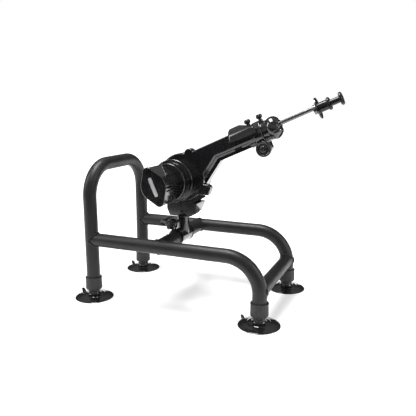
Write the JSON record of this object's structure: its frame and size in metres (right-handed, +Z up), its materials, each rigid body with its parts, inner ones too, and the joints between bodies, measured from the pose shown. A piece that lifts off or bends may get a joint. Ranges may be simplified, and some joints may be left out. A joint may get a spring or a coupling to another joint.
{
  "type": "reciprocating rod machine",
  "caption": "Tubular floor frame on suction feet that carries a tilting geared motor and crank case with a long arm, driving a polished slide rod in and out",
  "frame": {"origin": "on the floor, under the middle of the rear arch", "axes": "+X from the rear arch to the front legs, the way the rod points; +Y to the left side, away from the motor; +Z up"},
  "size_m": [0.6085, 0.333, 0.4919],
  "materials": {
    "frame_paint": "satin charcoal-black powder coat",
    "cup_vinyl": "very glossy soft black vinyl",
    "cap_rubber": "matt moulded dark grey rubber",
    "case_enamel": "glossy black enamel on cast metal",
    "bright_chrome": "bright chrome plate",
    "motor_gloss": "polished gloss-black extrusion",
    "knob_plastic": "glossy black moulding",
    "plug_plastic": "glossy black turned plastic",
    "bright_steel": "ground bright steel",
    "badge_white": "blank white plate",
    "plain_steel": "machined, oiled",
    "bronze": "plain bearing bronze",
    "winding_copper": "enamelled wire",
    "magnet_ferrite": "dark sintered"
  },
  "bodies": {
    "frame": {"rear_arch": "frame_paint", "side_rail_right": "frame_paint", "side_rail_left": "frame_paint", "mid_cross_tube": "frame_paint", "front_cross_tube": "frame_paint", "weld_beads": "frame_paint", "suction_cup_rear_right": "cup_vinyl", "suction_cup_rear_left": "cup_vinyl", "suction_cup_front_right": "cup_vinyl", "suction_cup_front_left": "cup_vinyl", "foot_caps": "cap_rubber", "foot_studs": "plug_plastic"},
    "head": {"barrel": "case_enamel", "barrel_crown": "case_enamel", "cable_gland": "plug_plastic", "case_screws": "plug_plastic", "clamp_sleeve": "case_enamel", "crank_bearings": "plain_steel", "end_cap_badge": "badge_white", "end_cap_screws": "plug_plastic", "gear_case": "case_enamel", "housing_far_half": "case_enamel", "housing_near_half": "case_enamel", "motor_bearings": "plain_steel", "motor_brushes": "magnet_ferrite", "motor_casing": "motor_gloss", "motor_end_cap": "case_enamel", "motor_flange": "case_enamel", "motor_magnets": "magnet_ferrite", "post": "case_enamel", "post_jaw": "case_enamel", "rod_bushes": "bronze", "rod_cover": "case_enamel", "saddle": "case_enamel", "saddle_bolts": "plug_plastic", "star_stud": "bright_chrome", "star_washer": "bright_chrome"},
    "star_knob": {"star_knob": "knob_plastic"},
    "lock_screw": {"lock_screw": "knob_plastic"},
    "round_knob": {"round_knob": "knob_plastic", "knob_screw": "bright_steel"},
    "ball_screw_rear": {"ball_screw_rear": "knob_plastic"},
    "ball_screw_front": {"ball_screw_front": "knob_plastic"},
    "rotor": {"motor_shaft": "plain_steel", "rotor_core": "plain_steel", "rotor_windings": "winding_copper", "commutator": "bronze", "motor_pinion": "plain_steel"},
    "crank": {"crank_shaft": "plain_steel", "crank_disc": "plain_steel", "crank_gear": "plain_steel", "crank_pin": "plain_steel"},
    "rod": {"slide_rod": "bright_chrome", "rod_clevis": "plain_steel", "wrist_pin": "plain_steel", "end_collar": "bright_chrome", "collar_set_screw": "bright_steel", "stop_disc": "bright_chrome", "plug_adapter": "plug_plastic"},
    "con_rod": {"connecting_rod": "plain_steel"}
  },
  "joints": [
    {"name": "unit_tilt", "type": "hinge", "parent": "frame", "child": "head", "pos_m": [0.1805, 0.008, 0.1465], "axis": [0, -1, 0], "range_deg": [-24, 40]},
    {"name": "crank_turn", "type": "hinge", "parent": "head", "child": "crank", "pos_m": [0.193, 0.008, 0.294], "axis": [0, 1, 0], "continuous": true},
    {"name": "motor_spin", "type": "hinge", "parent": "head", "child": "rotor", "pos_m": [0.17104, 0.008, 0.28431], "axis": [0, 1, 0], "continuous": true},
    {"name": "rod_slide", "type": "slide", "parent": "head", "child": "rod", "axis": [0.915, 0, 0.4035], "range_m": [-0.052, 0]},
    {"name": "con_rod_swing", "type": "hinge", "parent": "rod", "child": "con_rod", "pos_m": [0.29408, 0.008, 0.36754], "axis": [0, -1, 0], "range_deg": [-11.4, 18.8]},
    {"name": "star_knob_turn", "type": "hinge", "parent": "head", "child": "star_knob", "pos_m": [0.1805, -0.058, 0.1845], "axis": [0, 1, 0], "range_deg": [0, 360]},
    {"name": "lock_screw_turn", "type": "hinge", "parent": "head", "child": "lock_screw", "pos_m": [0.1805, -0.017, 0.1465], "axis": [-0.9903, 0, -0.1392], "range_deg": [0, 360]},
    {"name": "round_knob_turn", "type": "hinge", "parent": "head", "child": "round_knob", "pos_m": [0.39542, 0.008, 0.36907], "axis": [0, 1, 0], "range_deg": [0, 360]},
    {"name": "ball_screw_rear_turn", "type": "hinge", "parent": "head", "child": "ball_screw_rear", "pos_m": [0.34741, 0.008, 0.42713], "axis": [-0.4035, 0, 0.915], "range_deg": [0, 360]},
    {"name": "ball_screw_front_turn", "type": "hinge", "parent": "head", "child": "ball_screw_front", "pos_m": [0.37485, 0.008, 0.43924], "axis": [-0.4035, 0, 0.915], "range_deg": [0, 360]}
  ],
  "couplings": [
    {"joint": "motor_spin", "follows": "crank_turn", "ratio": -3},
    {"joint": "con_rod_swing", "follows": "rod_slide", "rad_per_m": -2.8367}
  ]
}
